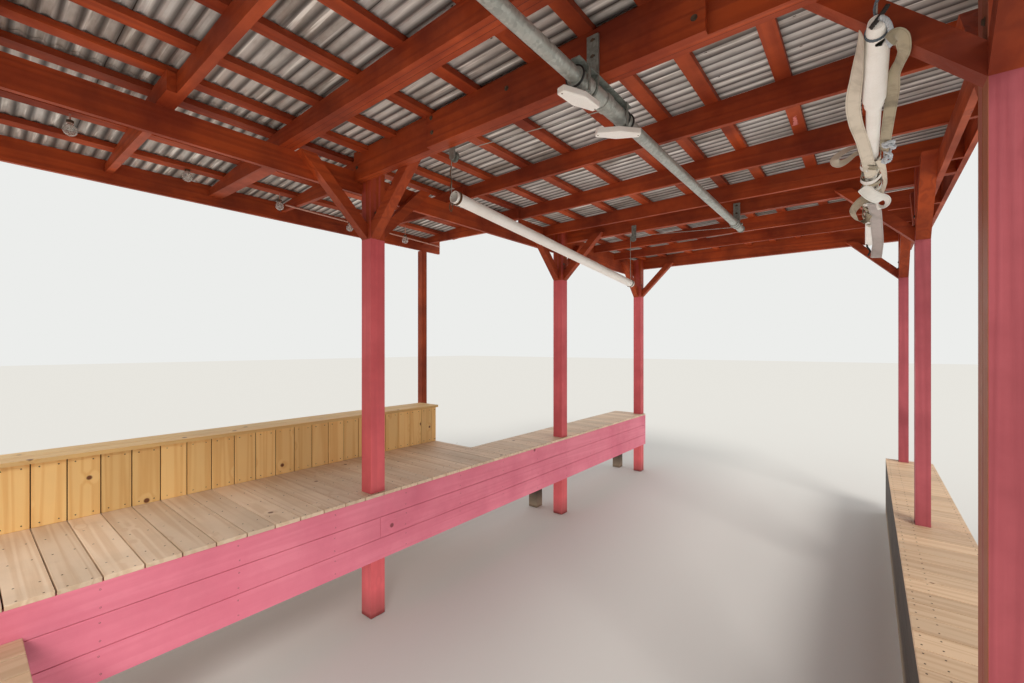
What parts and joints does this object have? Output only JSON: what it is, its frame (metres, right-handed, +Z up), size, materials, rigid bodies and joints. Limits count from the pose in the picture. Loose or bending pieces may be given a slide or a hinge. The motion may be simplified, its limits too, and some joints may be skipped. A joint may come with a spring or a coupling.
{
  "type": "timber boathouse",
  "caption": "Open timber boathouse with a corrugated roof over a boat slip, a shore-side deck with a low wall, walkways and a turning hoist pipe.",
  "frame": {"origin": "at the waterline, under the middle of the roof", "axes": "+X from the shore to the lake side, +Y along the slip to its open mouth, +Z up"},
  "size_m": [5.8235, 9.36, 4.1442],
  "materials": {
    "upper_red_paint": "old red-brown paint, satin",
    "lower_red_paint": "newer pinkish red paint, satin",
    "pine_boards": "sealed yellow pine",
    "weathered_timber": "dark wet timber",
    "corrugated_steel": "dull zinc with streaks",
    "galvanised_steel": "dull galvanised",
    "white_plastic": "matt white",
    "sling_webbing": "off-white webbing",
    "bulb_glass": "clear glass"
  },
  "bodies": {
    "frame": {"left_posts": "lower_red_paint", "right_posts": "lower_red_paint", "eave_posts": "upper_red_paint", "left_beam": "upper_red_paint", "right_beam": "upper_red_paint", "eave_beam": "upper_red_paint", "end_girders": "upper_red_paint", "hoist_girder": "upper_red_paint", "girder_stiffener": "upper_red_paint", "middle_girder": "upper_red_paint", "near_joists": "upper_red_paint", "middle_joists": "upper_red_paint", "far_joists": "upper_red_paint", "lean_to_rafters": "upper_red_paint", "slip_purlins": "upper_red_paint", "lean_to_purlins": "upper_red_paint", "lake_rim": "upper_red_paint", "slip_roof": "corrugated_steel", "lean_to_roof": "corrugated_steel", "beam_braces": "upper_red_paint", "girder_braces": "upper_red_paint", "deck_boards": "pine_boards", "deck_joists": "weathered_timber", "dock_bearers": "weathered_timber", "dock_piles": "weathered_timber", "fascia_boards": "lower_red_paint", "kneewall_boards": "pine_boards", "kneewall_plates": "pine_boards", "kneewall_studs": "pine_boards", "wall_cap": "pine_boards", "walkway_boards": "pine_boards", "walkway_joists": "weathered_timber", "walkway_skirt": "weathered_timber", "cross_walk_boards": "pine_boards", "cross_walk_joists": "weathered_timber", "pipe_hangers": "galvanised_steel", "sheave_brackets": "galvanised_steel", "hoist_cables": "galvanised_steel", "spreader_tube": "white_plastic", "sling_bundle": "sling_webbing", "lamps": "white_plastic", "light_bulbs": "bulb_glass", "conduit": "galvanised_steel"},
    "hoist": {"hoist_pipe": "galvanised_steel", "cable_drum": "galvanised_steel"}
  },
  "joints": [
    {"name": "hoist_turn", "type": "hinge", "parent": "frame", "child": "hoist", "pos_m": [1.039, 0, 3.738], "axis": [0, 1, 0], "continuous": true}
  ]
}
